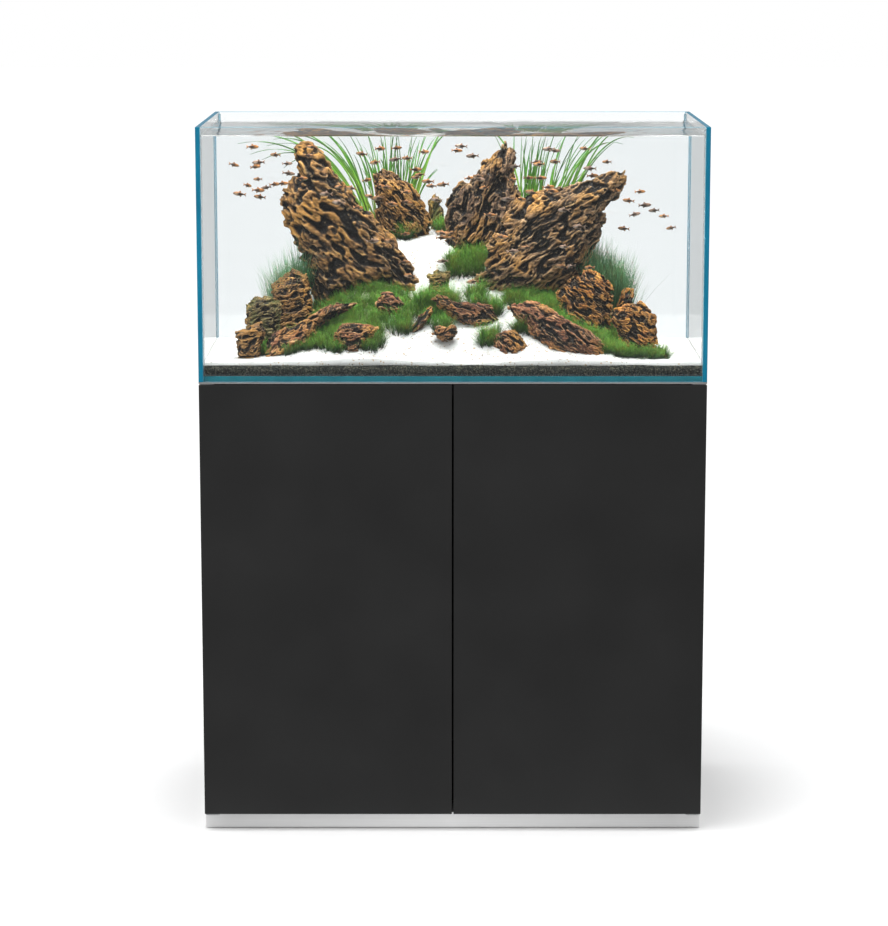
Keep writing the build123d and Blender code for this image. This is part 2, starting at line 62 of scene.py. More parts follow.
# ---------------------------------------------------------------- node materials
class Shader:
    """A small helper that builds one material's node tree."""

    def __init__(self, name):
        self.material = bpy.data.materials.new(name)
        self.material.use_nodes = True
        self.tree = self.material.node_tree
        self.surface = self.tree.nodes["Principled BSDF"]
        self.output = self.tree.nodes["Material Output"]

    def node(self, kind, inputs=None, **settings):
        made = self.tree.nodes.new(kind)
        for key, value in settings.items():
            setattr(made, key, value)
        for key, value in (inputs or {}).items():
            self.set(made.inputs[key], value)
        return made

    def set(self, socket, value):
        if isinstance(value, bpy.types.NodeSocket):
            self.tree.links.new(value, socket)
        else:
            socket.default_value = value

    def put(self, **values):
        for key, value in values.items():
            self.set(self.surface.inputs[key.replace("_", " ")], value)

    def place(self, scale=(1, 1, 1), rotation=(0, 0, 0)):
        """Object coordinates in metres, turned and scaled."""
        coordinates = self.node("ShaderNodeTexCoord").outputs["Object"]
        inputs = {"Vector": coordinates, "Scale": scale, "Rotation": rotation}
        return self.node("ShaderNodeMapping", inputs).outputs["Vector"]

    def noise(self, place, scale, detail=4, roughness=0.55, distortion=0):
        inputs = {"Vector": place, "Scale": scale, "Detail": detail, "Roughness": roughness,
                  "Distortion": distortion}
        return self.node("ShaderNodeTexNoise", inputs).outputs["Fac"]

    def cells(self, place, scale, feature="F1", output="Distance"):
        made = self.node("ShaderNodeTexVoronoi", {"Vector": place, "Scale": scale}, feature=feature)
        return made.outputs[output]

    def ramp(self, factor, stops, interpolation="LINEAR"):
        made = self.node("ShaderNodeValToRGB", {"Fac": factor})
        made.color_ramp.interpolation = interpolation
        points = made.color_ramp.elements
        while len(points) < len(stops):
            points.new(0.5)
        for point, (position, color) in zip(points, stops):
            point.position = position
            point.color = (*color, 1)
        return made.outputs["Color"]

    def between(self, value, low, high, to_low, to_high):
        inputs = {"Value": value, "From Min": low, "From Max": high, "To Min": to_low, "To Max": to_high}
        return self.node("ShaderNodeMapRange", inputs).outputs["Result"]

    def mix(self, factor, a, b, blend="MIX"):
        made = self.node("ShaderNodeMix", data_type="RGBA", blend_type=blend)
        for socket, value in zip((made.inputs[0], made.inputs[6], made.inputs[7]), (factor, a, b)):
            if isinstance(value, tuple):
                value = (*value, 1)
            self.set(socket, value)
        return made.outputs[2]

    def bump(self, height, strength, distance, normal=None):
        inputs = {"Height": height, "Strength": strength, "Distance": distance}
        if normal is not None:
            inputs["Normal"] = normal
        return self.node("ShaderNodeBump", inputs).outputs["Normal"]


def gray(value):
    return (value, value, value)


def black_lacquer():
    """Matt black lacquer on fibreboard: faint orange peel and a slow drift of tone."""
    s = Shader("black_lacquer")
    place = s.place()
    tone = s.noise(place, 5, detail=2)
    peel = s.noise(place, 900, detail=2)
    s.put(
        Base_Color=s.ramp(tone, [(0.3, gray(0.0120)), (0.7, gray(0.0160))]),
        Roughness=s.between(s.noise(place, 60, detail=5), 0.3, 0.7, 0.44, 0.52),
        Specular_IOR_Level=0.42,
        Normal=s.bump(peel, 0.12, 0.0004),
    )
    return s.material


def brushed_plinth():
    """Pale foil with fine brushing along the board, and a painted highlight that makes it brightest in the
    middle.
    """
    s = Shader("brushed_plinth")
    brush = s.noise(s.place(scale=(6, 60, 1500)), 1, detail=3)
    along = s.node("ShaderNodeSeparateXYZ", {"Vector": s.place()}).outputs["X"]
    across_board = s.between(along, -0.45, 0.45, 0, 1)
    # Painted highlight: the foil is brightest across the middle of the board and duller towards its ends.
    painted_centre_highlight = s.ramp(across_board, [(0.05, gray(0.80)), (0.5, gray(1.08)), (0.95, gray(0.80))])
    foil = s.ramp(brush, [(0.3, gray(0.84)), (0.7, gray(0.92))])
    s.put(
        Base_Color=s.mix(1.0, foil, painted_centre_highlight, blend="MULTIPLY"),
        Metallic=0.08,
        Roughness=s.between(brush, 0.3, 0.7, 0.34, 0.46),
        Normal=s.bump(brush, 0.15, 0.0003),
    )
    return s.material


def foam_mat():
    s = Shader("foam_mat")
    pores = s.cells(s.place(), 900)
    s.put(
        # Darker in the pores: painted shade in them.
        Base_Color=s.ramp(pores, [(0.1, gray(0.10)), (0.6, gray(0.22))]),
        Roughness=0.85,
        Normal=s.bump(pores, 0.5, 0.0005),
    )
    return s.material


def turned_metal(name, low, high, roughness):
    s = Shader(name)
    streaks = s.noise(s.place(scale=(1, 1, 8)), 260, detail=4)
    s.put(
        Base_Color=s.ramp(streaks, [(0.3, low), (0.7, high)]),
        Metallic=1.0,
        Roughness=s.between(streaks, 0.3, 0.7, roughness - 0.06, roughness + 0.08),
        Normal=s.bump(streaks, 0.1, 0.0002),
    )
    return s.material


def moulded_plastic():
    s = Shader("moulded_plastic")
    grain = s.noise(s.place(), 1400, detail=2)
    s.put(
        Base_Color=s.ramp(s.noise(s.place(), 30), [(0.3, gray(0.018)), (0.7, gray(0.026))]),
        Roughness=s.between(grain, 0.3, 0.7, 0.42, 0.56),
        Normal=s.bump(grain, 0.25, 0.0003),
    )
    return s.material


def beech():
    s = Shader("beech")
    rings = s.noise(s.place(scale=(1, 1, 0.1)), 400, detail=5)
    s.put(Base_Color=s.ramp(rings, [(0.3, (0.42, 0.25, 0.12)), (0.7, (0.62, 0.42, 0.24))]), Roughness=0.6)
    return s.material


def let_light_through(s, tint):
    """Lets shadow rays pass, as light does through a clear pane or clear water."""
    passing = s.node("ShaderNodeBsdfTransparent", {"Color": (*tint, 1)})
    is_shadow = s.node("ShaderNodeLightPath").outputs["Is Shadow Ray"]
    inputs = {0: is_shadow, 1: s.surface.outputs[0], 2: passing.outputs[0]}
    mixed = s.node("ShaderNodeMixShader")
    for index, socket in inputs.items():
        s.tree.links.new(socket, mixed.inputs[index])
    s.tree.links.new(mixed.outputs[0], s.output.inputs["Surface"])


def clear_glass():
    """Low-iron float glass, with the faintest ripple painted into its tint for the ripple in its reflection:
    a painted reflection.
    """
    s = Shader("clear_glass")
    ripple = s.noise(s.place(), 3, detail=1)
    s.put(
        # The faint ripple in the tint is a painted reflection.
        Base_Color=s.ramp(ripple, [(0.3, (0.965, 0.985, 0.99)), (0.7, (0.975, 0.992, 0.995))]),
        Roughness=0.0,
        IOR=1.5,
        Specular_IOR_Level=0.12,
        Transmission_Weight=1.0,
    )
    let_light_through(s, (0.97, 0.985, 0.99))
    return s.material


def glass_edge(name, deep, light, clearness):
    """A polished edge, where the pane's own blue shows along its whole length, with the light carried along
    the pane painted in as its brightness.
    """
    s = Shader(name)
    drift = s.noise(s.place(scale=(1, 1, 0.4)), 18, detail=3)
    s.put(
        Base_Color=s.ramp(drift, [(0.3, deep), (0.7, light)]),
        Roughness=s.between(s.noise(s.place(), 300), 0.3, 0.7, 0.12, 0.22),
        IOR=1.5,
        Transmission_Weight=clearness,
    )
    return s.material


def silicone():
    s = Shader("silicone")
    wave = s.noise(s.place(), 160, detail=3)
    s.put(
        Base_Color=s.ramp(wave, [(0.3, (0.82, 0.90, 0.93)), (0.7, (0.90, 0.95, 0.97))]),
        Roughness=0.1,
        IOR=1.41,
        Specular_IOR_Level=0.1,
        Transmission_Weight=0.97,
        Normal=s.bump(wave, 0.2, 0.0006),
    )
    let_light_through(s, (0.93, 0.95, 0.96))
    return s.material


def clear_water():
    """Still water: slow ripples in its surface."""
    s = Shader("clear_water")
    ripples = s.noise(s.place(scale=(1, 1, 0.05)), 14, detail=3, distortion=0.4)
    s.put(
        Base_Color=s.ramp(ripples, [(0.3, (0.985, 0.995, 0.998)), (0.7, (0.99, 0.998, 1.0))]),
        Roughness=0.0,
        IOR=1.333,
        Specular_IOR_Level=0.2,
        Transmission_Weight=1.0,
    )
    let_light_through(s, (0.985, 0.992, 0.996))
    return s.material


def sand():
    """Fine pale sand, nearly white, with sparse ochre and grey grains."""
    s = Shader("pale_sand")
    place = s.place()
    grains = s.cells(place, 1300)
    picked = s.cells(place, 400, output="Color")
    rare = s.ramp(s.node("ShaderNodeSeparateColor", {"Color": picked}).outputs["Red"],
                  [(0.93, gray(0)), (0.95, gray(1))])
    grain_color = s.ramp(s.node("ShaderNodeSeparateColor", {"Color": picked}).outputs["Green"],
                         [(0.0, (0.16, 0.13, 0.10)), (0.5, (0.42, 0.30, 0.18)), (1.0, (0.55, 0.50, 0.42))])
    pale = s.ramp(s.noise(place, 30, detail=6), [(0.3, (0.60, 0.59, 0.565)), (0.7, (0.69, 0.685, 0.665))])
    s.put(
        Base_Color=s.mix(rare, pale, grain_color),
        Roughness=0.9,
        Normal=s.bump(grains, 0.5, 0.0008),
    )
    return s.material


def soil():
    """Dark baked granules with pale dust among them, and painted shade in the gaps between the granules."""
    s = Shader("granular_soil")
    place = s.place()
    granule = s.cells(place, 420)
    picked = s.cells(place, 420, output="Color")
    shade = s.node("ShaderNodeSeparateColor", {"Color": picked}).outputs["Red"]
    base = s.ramp(
        shade, [(0.0, (0.014, 0.017, 0.014)), (0.55, (0.045, 0.054, 0.042)), (1.0, (0.17, 0.16, 0.11))],
    )
    # Painted shade: the gaps between the granules are darkened.
    painted_gap_shade = s.ramp(granule, [(0.35, gray(1)), (0.75, gray(0.25))])
    s.put(
        Base_Color=s.mix(1.0, base, painted_gap_shade, blend="MULTIPLY"),
        Roughness=0.95,
        Normal=s.bump(granule, 1.0, 0.002),
    )
    return s.material


def clay_rock(name, strata_angle, dark, middle, pale, moss=0.0):
    """Layered clay rock: long pits and ridges along the strata, pale on the edges and dark in the pits:
    painted highlights on the edges and ridges, painted shade in the pits and crevices.
    """
    s = Shader(name)
    along = s.place(scale=(9, 30, 60), rotation=(0, strata_angle, 0))
    streaks = s.noise(along, 2.6, detail=8, roughness=0.62, distortion=0.6)
    patches = s.noise(s.place(), 16, detail=5, roughness=0.6)
    edges = s.node("ShaderNodeNewGeometry").outputs["Pointiness"]
    # The strata bands are the rock's own colour, but their dark band lies in the grooves of the streak bump
    # and their pale band on its ridges: partly painted shade and painted highlight.
    body = s.ramp(streaks, [(0.33, dark), (0.52, middle), (0.70, pale)])
    ochre = s.mix(s.ramp(patches, [(0.46, gray(0)), (0.66, gray(0.75))]), body, (0.36, 0.17, 0.025))
    relief = s.node("ShaderNodeVertexColor", layer_name="relief").outputs["Color"]
    # Painted shade in the sculpted pits and a painted highlight on the ridges, read from the relief.
    depth = s.ramp(relief, [(0.15, gray(0.01)), (0.40, gray(0.14)), (0.56, gray(0.80)), (0.85, gray(1.5))])
    # Painted shade in the concave crevices and a painted highlight on the convex edges.
    crevice_shade_edge_highlight = s.ramp(edges, [(0.42, gray(0.10)), (0.48, gray(0.60)), (0.51, gray(1.0)), (0.57, gray(1.3))])
    shaded = s.mix(1.0, s.mix(1.0, ochre, crevice_shade_edge_highlight, blend="MULTIPLY"), depth, blend="MULTIPLY")
    # Pale colour on the sharpest edges: a painted highlight.
    rock_colour_with_painted_light = s.mix(s.ramp(edges, [(0.53, gray(0)), (0.62, gray(0.7))]), shaded, (0.55, 0.36, 0.17))
    if moss:
        film = s.ramp(s.noise(s.place(), 24, detail=4), [(0.45, gray(0)), (0.62, gray(moss))])
        rock_colour_with_painted_light = s.mix(film, rock_colour_with_painted_light, (0.11, 0.12, 0.03))
    fine = s.noise(s.place(), 520, detail=6, roughness=0.7)
    s.put(
        Base_Color=rock_colour_with_painted_light,
        Roughness=s.between(fine, 0.3, 0.7, 0.62, 0.9),
        Normal=s.bump(fine, 0.55, 0.0012, s.bump(streaks, 0.6, 0.003)),
    )
    return s.material


def leaf(name, root, middle, tip, gloss=0.45):
    """Leaves whose colour runs from root to tip, with a fine vein along them."""
    s = Shader(name)
    tone = s.node("ShaderNodeVertexColor", layer_name="tone").outputs["Color"]
    parts = s.node("ShaderNodeSeparateColor", {"Color": tone})
    by_height = s.ramp(parts.outputs["Red"], [(0.0, root), (0.45, middle), (1.0, tip)])
    own = s.between(parts.outputs["Green"], 0, 1, 0.45, 1.5)
    combined = s.node("ShaderNodeCombineColor", {"Red": own, "Green": own, "Blue": own}).outputs["Color"]
    veins = s.noise(s.place(scale=(1, 1, 0.05)), 1500, detail=2)
    s.put(
        Base_Color=s.mix(1.0, by_height, combined, blend="MULTIPLY"),
        Roughness=s.between(veins, 0.3, 0.7, gloss, gloss + 0.15),
        Subsurface_Weight=0.15,
        Subsurface_Scale=0.002,
        Normal=s.bump(veins, 0.2, 0.0003),
    )
    return s.material


def fish_skin():
    s = Shader("fish_skin")
    paint = s.node("ShaderNodeVertexColor", layer_name="paint").outputs["Color"]
    scales = s.cells(s.place(scale=(1, 1, 1.4)), 1500)
    s.put(
        Base_Color=s.mix(s.ramp(scales, [(0.2, gray(0)), (0.8, gray(0.35))]), paint, (0.20, 0.10, 0.04)),
        Roughness=0.3,
        Metallic=0.15,
        Normal=s.bump(scales, 0.3, 0.0003),
    )
    return s.material


def studio_floor():
    """White floor, dimmed in front of the object where a pane mirrors it."""
    s = Shader("studio_floor")
    reflected = s.node("ShaderNodeLightPath").outputs["Glossy Depth"]
    pale = s.ramp(s.noise(s.place(), 2), [(0.3, gray(0.91)), (0.7, gray(0.93))])
    in_front = s.node("ShaderNodeSeparateXYZ", {"Vector": s.place()}).outputs["Y"]
    mirrored = s.ramp(reflected, [(0, gray(0)), (1, gray(1))])
    dimmed = s.mix(1.0, mirrored, s.between(in_front, -0.4, -0.2, 1, 0), blend="MULTIPLY")
    s.put(Base_Color=s.mix(dimmed, pale, gray(0.16)), Roughness=0.7)
    return s.material


# ---------------------------------------------------------------- shared mesh helpers
def new_piece(name, vertices, faces, material, smooth=True):
    mesh = bpy.data.meshes.new(name)
    mesh.from_pydata([tuple(v) for v in vertices], [], [tuple(f) for f in faces])
    mesh.validate()
    mesh.update()
    piece = bpy.data.objects.new(name, mesh)
    bpy.context.scene.collection.objects.link(piece)
    mesh.materials.append(material)
    mesh.polygons.foreach_set("use_smooth", [smooth] * len(mesh.polygons))
    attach(piece, "root")
    return piece


def from_bmesh(name, shape, material, smooth=False):
    mesh = bpy.data.meshes.new(name)
    shape.to_mesh(mesh)
    shape.free()
    piece = bpy.data.objects.new(name, mesh)
    bpy.context.scene.collection.objects.link(piece)
    mesh.materials.append(material)
    mesh.polygons.foreach_set("use_smooth", [smooth] * len(mesh.polygons))
    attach(piece, "root")
    return piece


def paint_points(mesh, name, colors):
    """A colour for each point of a mesh, from an array with three columns."""
    layer = mesh.color_attributes.new(name, "FLOAT_COLOR", "POINT")
    values = np.ones((len(mesh.vertices), 4), dtype=np.float32)
    values[:, :3] = colors
    layer.data.foreach_set("color", values.ravel())


def dress(material, *nodes):
    """Gives CAD nodes their finish."""
    for name in nodes:
        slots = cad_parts[name].material_slots
        for slot in slots:
            slot.link = "OBJECT"
            slot.material = material


# ---------------------------------------------------------------- cabinet
lacquer = black_lacquer()
dress(lacquer, "door_left", "door_right", "carcass_top", "carcass_bottom", "carcass_back",
      "carcass_side_left", "carcass_side_right")
dress(brushed_plinth(), "plinth_front", "plinth_rear", "plinth_side_left", "plinth_side_right")
dress(foam_mat(), "tank_mat")
dress(moulded_plastic(), "port_grommets", "magnetic_catches", "levelling_feet")
dress(turned_metal("zinc_steel", (0.42, 0.43, 0.44), (0.62, 0.62, 0.63), 0.3), "hinge_plates", "hinge_pins",
      "hinge_screws", "catch_screws", "plinth_screws", "strike_plate_left", "strike_plate_right")
dress(turned_metal("turned_brass", (0.60, 0.42, 0.16), (0.78, 0.58, 0.28), 0.25),
      "door_bushes_left", "door_bushes_right")
dress(beech(), "carcass_dowels")
dress(silicone(), "tank_silicone")

# ---------------------------------------------------------------- glass panes
glass = clear_glass()
# One glass edge in lit and shaded copies: painted light, pale on the front and back panes, deeper blue and
# teal on the side and base panes.
blue_edge = glass_edge("blue_glass_edge", (0.001, 0.16, 0.27), (0.003, 0.22, 0.36), 0.25)
teal_edge = glass_edge("teal_glass_edge", (0.012, 0.20, 0.26), (0.025, 0.28, 0.34), 0.25)
pale_edge = glass_edge("pale_glass_edge", (0.10, 0.42, 0.58), (0.25, 0.60, 0.74), 0.55)


def glass_pane(name, node, edge_materials, arris=0.5 * MM):
    """A pane in its CAD node's box, with ground arrises: its large faces are clear and its edges tinted."""
    low, high = (Vector(corner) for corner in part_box(node))
    size = high - low
    shape = bmesh.new()
    bmesh.ops.create_cube(shape, size=1)
    bmesh.ops.scale(shape, vec=size, verts=shape.verts)
    bmesh.ops.translate(shape, vec=(low + high) / 2, verts=shape.verts)
    bmesh.ops.bevel(shape, geom=shape.edges[:], offset=arris, segments=2, affect="EDGES", profile=0.5)
    piece = from_bmesh(name, shape, glass)
    thin_axis = min(range(3), key=lambda axis: size[axis])
    slots = {}
    for axis, material in edge_materials.items():
        piece.data.materials.append(material)
        slots[axis] = len(piece.data.materials) - 1
    for face in piece.data.polygons:
        axis = max(range(3), key=lambda a: abs(face.normal[a]))
        if axis != thin_axis:
            face.material_index = slots[axis]
        elif abs(face.normal[axis]) < 0.999:
            face.material_index = slots[max(slots)]
    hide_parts(node)
    return piece


glass_pane("side_glass_left", "tank_side_pane_left", {1: blue_edge, 2: blue_edge})
glass_pane("side_glass_right", "tank_side_pane_right", {1: blue_edge, 2: blue_edge})
glass_pane("front_glass", "tank_front_pane", {0: pale_edge, 2: pale_edge})
glass_pane("back_glass", "tank_back_pane", {0: pale_edge, 2: pale_edge})
glass_pane("base_glass", "tank_base_pane", {0: teal_edge, 1: teal_edge})


# ---------------------------------------------------------------- ground: sand and soil
SAND_FRONT = 6 * MM
BANK = ((0.0, 0.2, 0.265, 0.45), (0.0, 0.122, 0.196, 0.218))  # metres behind the front, metres of rise
PLATEAU = 0.13
FLAT = 0.375
NARROWING = 0.13
BANK_ROUNDING = 0.018
wall = half_depth - inner_y


def drawn_place(x, behind):
    """A place of the drawn layout (mm from the middle, mm behind the front), drawn in as it goes back."""
    return x * MM * (1 - NARROWING * behind * MM / (2 * half_depth)), front_face + behind * MM


def smooth_step(value, low, high):
    share = min(1.0, max(0.0, (value - low) / (high - low)))
    return share * share * (3 - 2 * share)


def ground_height(x, y):
    """The sand's surface: a bank rising to the back, lower along the winding path and flat at the sides."""
    behind = y + inner_y
    side = 1 - smooth_step(abs(x), PLATEAU - 0.02, FLAT + 0.02)
    places = (behind - BANK_ROUNDING, behind, behind + BANK_ROUNDING)
    rise = side * sum(np.interp(place + wall, *BANK) for place in places) / len(places)
    path_x = 0.028 - 0.03 * math.sin(behind * 9)
    path = math.exp(-((x - path_x) / (0.035 + 0.08 * math.exp(-behind * 14))) ** 2)
    grain = noise.fractal(Vector((x * 18, y * 18, 3)), 0.9, 2.1, 4)
    hollow = math.exp(-((x + 0.078) / 0.045) ** 2 - ((behind - 0.205) / 0.06) ** 2)
    return soil_top + SAND_FRONT + rise - 9 * MM * path * side - 30 * MM * hollow + 1.6 * MM * grain


def ground_block(name, material, across, along, inset, bottom, top_at):
    """A closed block whose top follows top_at(x, y)."""
    xs = np.linspace(-inner_x + inset, inner_x - inset, across)
    ys = np.linspace(-inner_y + inset, inner_y - inset, along)
    top = [(x, y, top_at(x, y)) for y in ys for x in xs]
    base = [(x, y, bottom) for y in ys for x in xs]
    count = len(top)
    faces = []
    for j in range(along - 1):
        for i in range(across - 1):
            a = j * across + i
            faces.append((a, a + 1, a + across + 1, a + across))
            faces.append((count + a, count + a + across, count + a + across + 1, count + a + 1))
    rims = [(i, i + 1) for i in range(across - 1)]
    rims += [(j * across + across - 1, (j + 1) * across + across - 1) for j in range(along - 1)]
    rims += [((along - 1) * across + i + 1, (along - 1) * across + i) for i in range(across - 1)]
    rims += [((j + 1) * across, j * across) for j in range(along - 1)]
    for a, b in rims:
        faces.append((b, a, count + a, count + b))
    return new_piece(name, top + base, faces, material)


def soil_height(x, y):
    """The soil's wavy top edge, with single granules standing up into the sand."""
    wave = 1.8 * MM * noise.noise(Vector((x * 14, 5, 0)))
    granule = 1.3 * MM * noise.noise(Vector((x * 420, y * 420, 1)))
    return soil_top + 1.2 * MM + wave + granule


sand_piece = ground_block("sand", sand(), 360, 180, 1.2 * MM, soil_top - 4 * MM, ground_height)
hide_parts("sand_bed")
soil_piece = ground_block("soil", soil(), 700, 40, 0.4 * MM, tank_floor + 0.3 * MM, soil_height)
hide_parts("soil_layer")


# ---------------------------------------------------------------- stones
STONES = {
    # node: strata angle in degrees (up from +X), rock material key, depth of the ridges in mm
    "stone_peak_left": (-38, "ochre", 6.5),
    "stone_slab_right": (34, "tan", 6.0),
    "stone_peak_right": (62, "grey", 5.5),
    "stone_shoulder_left": (-50, "ochre", 5.0),
    "stone_back_small": (70, "mossy", 2.5),
    "stone_ochre_left": (10, "ochre", 4.5),
    "stone_round_left": (20, "mossy", 4.0),
    "stone_block_left": (12, "ochre", 3.5),
    "stone_long_left": (33, "red", 4.0),
    "stone_front_left": (5, "red", 4.0),
    "stone_middle_left": (-15, "red", 3.0),
    "stone_mound_top": (5, "mossy", 3.0),
    "stone_shard": (50, "red", 2.0),
    "stone_log": (-20, "red", 3.5),
    "stone_pebble": (10, "red", 3.0),
    "stone_front_middle": (-40, "red", 3.5),
    "stone_front_right": (-38, "red", 4.5),
    "stone_shoulder_right": (-35, "yellow", 4.5),
    "stone_side_right": (70, "yellow", 2.5),
    "stone_ochre_right": (-30, "yellow", 4.5),
}
ROCKS = {
    # key: colours of the pits, the body and the ridges of the strata streaks: the rock's own banding, with
    # painted shade in its dark pits and a painted highlight on its pale ridges
    "ochre": ((0.020, 0.009, 0.004), (0.150, 0.070, 0.018), (0.42, 0.23, 0.065)),
    "tan": ((0.022, 0.012, 0.007), (0.140, 0.078, 0.036), (0.40, 0.26, 0.14)),
    "grey": ((0.018, 0.011, 0.008), (0.105, 0.060, 0.034), (0.30, 0.19, 0.11)),
    "red": ((0.028, 0.009, 0.004), (0.180, 0.060, 0.022), (0.50, 0.29, 0.15)),
    "yellow": ((0.030, 0.010, 0.003), (0.250, 0.088, 0.010), (0.55, 0.28, 0.045)),
    "mossy": ((0.016, 0.014, 0.006), (0.095, 0.072, 0.024), (0.28, 0.21, 0.085)),
}


def rock_relief(point, strata, across, scale, seed):
    """How far a stone's surface stands out at a point: about -1 in a pit, 1 on a ridge along the strata."""
    along = point.dot(strata) / scale
    over = point.dot(across) / scale
    deep = point.y / scale
    offset = Vector((seed * 3.1, seed * 1.7, seed * 0.9))
    over += 0.006 * noise.noise(Vector((along * 30, deep * 30, over * 30)) + offset)
    coarse = noise.noise(Vector((along * 10, deep * 16, over * 30)) + offset * 2)
    ridge = 1 - 2.6 * abs(noise.noise(Vector((along * 36, deep * 60, over * 118)) + offset))
    small_ridge = 1 - 2.6 * abs(noise.noise(Vector((along * 105, deep * 150, over * 300)) + offset))
    hollow = noise.noise(Vector((along * 44, deep * 76, over * 100)) + offset * 4)
    small_hollow = noise.noise(Vector((along * 105, deep * 150, over * 200)) + offset * 5)
    pits = smooth_step(hollow, 0.05, 0.30) + 0.55 * smooth_step(small_hollow, 0.10, 0.36)
    fine = noise.noise(Vector((along * 300, deep * 360, over * 560)) + offset)
    return 0.50 * coarse + 0.36 * ridge + 0.24 * small_ridge + 0.14 * fine - 1.15 * pits


def sculpt_stone(node, angle, ridge_depth, material, seed):
    """A detailed stone grown from its CAD node's own shape."""
    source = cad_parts[node]
    low, high = (Vector(corner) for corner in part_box(node))
    widest = max(high - low)
    mesh = source.data.copy()
    piece = bpy.data.objects.new(node.replace("stone_", "rock_"), mesh)
    bpy.context.scene.collection.objects.link(piece)
    remesh = piece.modifiers.new("remesh", "REMESH")
    remesh.mode = "VOXEL"
    remesh.voxel_size = max(0.8 * MM, widest / 190)
    rounding = piece.modifiers.new("rounding", "SMOOTH")
    rounding.iterations = 3
    shaped = bpy.data.meshes.new_from_object(piece.evaluated_get(bpy.context.evaluated_depsgraph_get()))
    piece.modifiers.clear()
    piece.data = shaped
    bpy.data.meshes.remove(mesh)
    tilt = math.radians(angle)
    strata = Vector((math.cos(tilt), 0, math.sin(tilt)))
    across = Vector((-math.sin(tilt), 0, math.cos(tilt)))
    count = len(shaped.vertices)
    places = np.empty(count * 3)
    normals = np.empty(count * 3)
    shaped.vertices.foreach_get("co", places)
    shaped.vertices.foreach_get("normal", normals)
    places = places.reshape(-1, 3)
    normals = normals.reshape(-1, 3)
    grain = min(1.4, 0.55 + widest / 0.4)
    relief = np.array([rock_relief(Vector(p), strata, across, grain, seed) for p in places])
    shift = relief * ridge_depth * MM
    moved = places + normals * shift[:, None]
    limit = np.array([inner_x - 3 * MM, inner_y - 3 * MM])
    moved[:, :2] = np.clip(moved[:, :2], -limit, limit)
    shaped.vertices.foreach_set("co", moved.ravel())
    shaped.update()
    shaped.materials.clear()
    shaped.materials.append(material)
    shaped.polygons.foreach_set("use_smooth", [True] * len(shaped.polygons))
    paint_points(shaped, "relief", np.column_stack([relief * 0.5 + 0.5] * 3))
    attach(piece, "root")
    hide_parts(node)
    return piece


rocks = []
for seed, (node, (angle, key, depth)) in enumerate(STONES.items()):
    rock_material = clay_rock("rock_" + key + "_" + str(seed), math.radians(angle), *ROCKS[key],
                              moss=0.7 if key == "mossy" else 0.0)
    rocks.append(sculpt_stone(node, angle, depth, rock_material, seed + 1))


# ---------------------------------------------------------------- plants
def joined_tree(objects):
    """One search tree over several meshes that lie where they are seen."""
    vertices = []
    faces = []
    for item in objects:
        start = len(vertices)
        vertices.extend(v.co.copy() for v in item.data.vertices)
        faces.extend([start + i for i in p.vertices] for p in item.data.polygons)
    return BVHTree.FromPolygons(vertices, faces)


rock_tree = joined_tree(rocks)
UP = Vector((0, 0, 1))


def free_ground(x, y):
    """The ground's height at a place, or None inside a stone."""
    z = ground_height(x, y)
    start = Vector((x, y, z + 1 * MM))
    hit, normal, _, _ = rock_tree.ray_cast(start, UP)
    if hit is not None and normal.z > 0:
        return None
    return z


def inside(x, y, outline):
    result = False
    for (ax, ay), (bx, by) in zip(outline, outline[1:] + outline[:1]):
        if (ay > y) != (by > y) and x < (bx - ax) * (y - ay) / (by - ay) + ax:
            result = not result
    return result


def blade_mesh(name, roots, material, sides=3, joints=4):
    """Tapered curved blades, each a closed thin spindle with a colour that runs from root to tip.

    A root is (place, direction it leans to, length, width, lean, bend, own shade).
    """
    vertices = []
    faces = []
    tones = []
    for place, heading, length, width, lean, bend, own in roots:
        start = len(vertices)
        outward = Vector((math.cos(heading), math.sin(heading), 0))
        cross = Vector((-math.sin(heading), math.cos(heading), 0))
        point = Vector(place)
        angle = lean
        step = length / joints
        for joint in range(joints):
            share = joint / joints
            forward = outward * math.sin(angle) + UP * math.cos(angle)
            side = forward.cross(cross)
            thick = width * (1 - 0.75 * share) / 2
            for k in range(sides):
                turn = 2 * math.pi * k / sides
                along_width = cross * (thick * math.cos(turn))
                along_side = side * (0.5 * thick * math.sin(turn))
                vertices.append(point + along_width + along_side)
                tones.append((share, own))
            point = point + forward * step
            angle += bend / joints
        vertices.append(point)
        tones.append((1.0, own))
        tip = len(vertices) - 1
        faces.append([start + k for k in reversed(range(sides))])
        for joint in range(joints - 1):
            ring = start + joint * sides
            for k in range(sides):
                after = (k + 1) % sides
                faces.append((ring + k, ring + after, ring + sides + after, ring + sides + k))
        ring = start + (joints - 1) * sides
        for k in range(sides):
            faces.append((ring + k, ring + (k + 1) % sides, tip))
    piece = new_piece(name, vertices, faces, material)
    paint_points(piece.data, "tone", [(share, own, 0) for share, own in tones])
    return piece


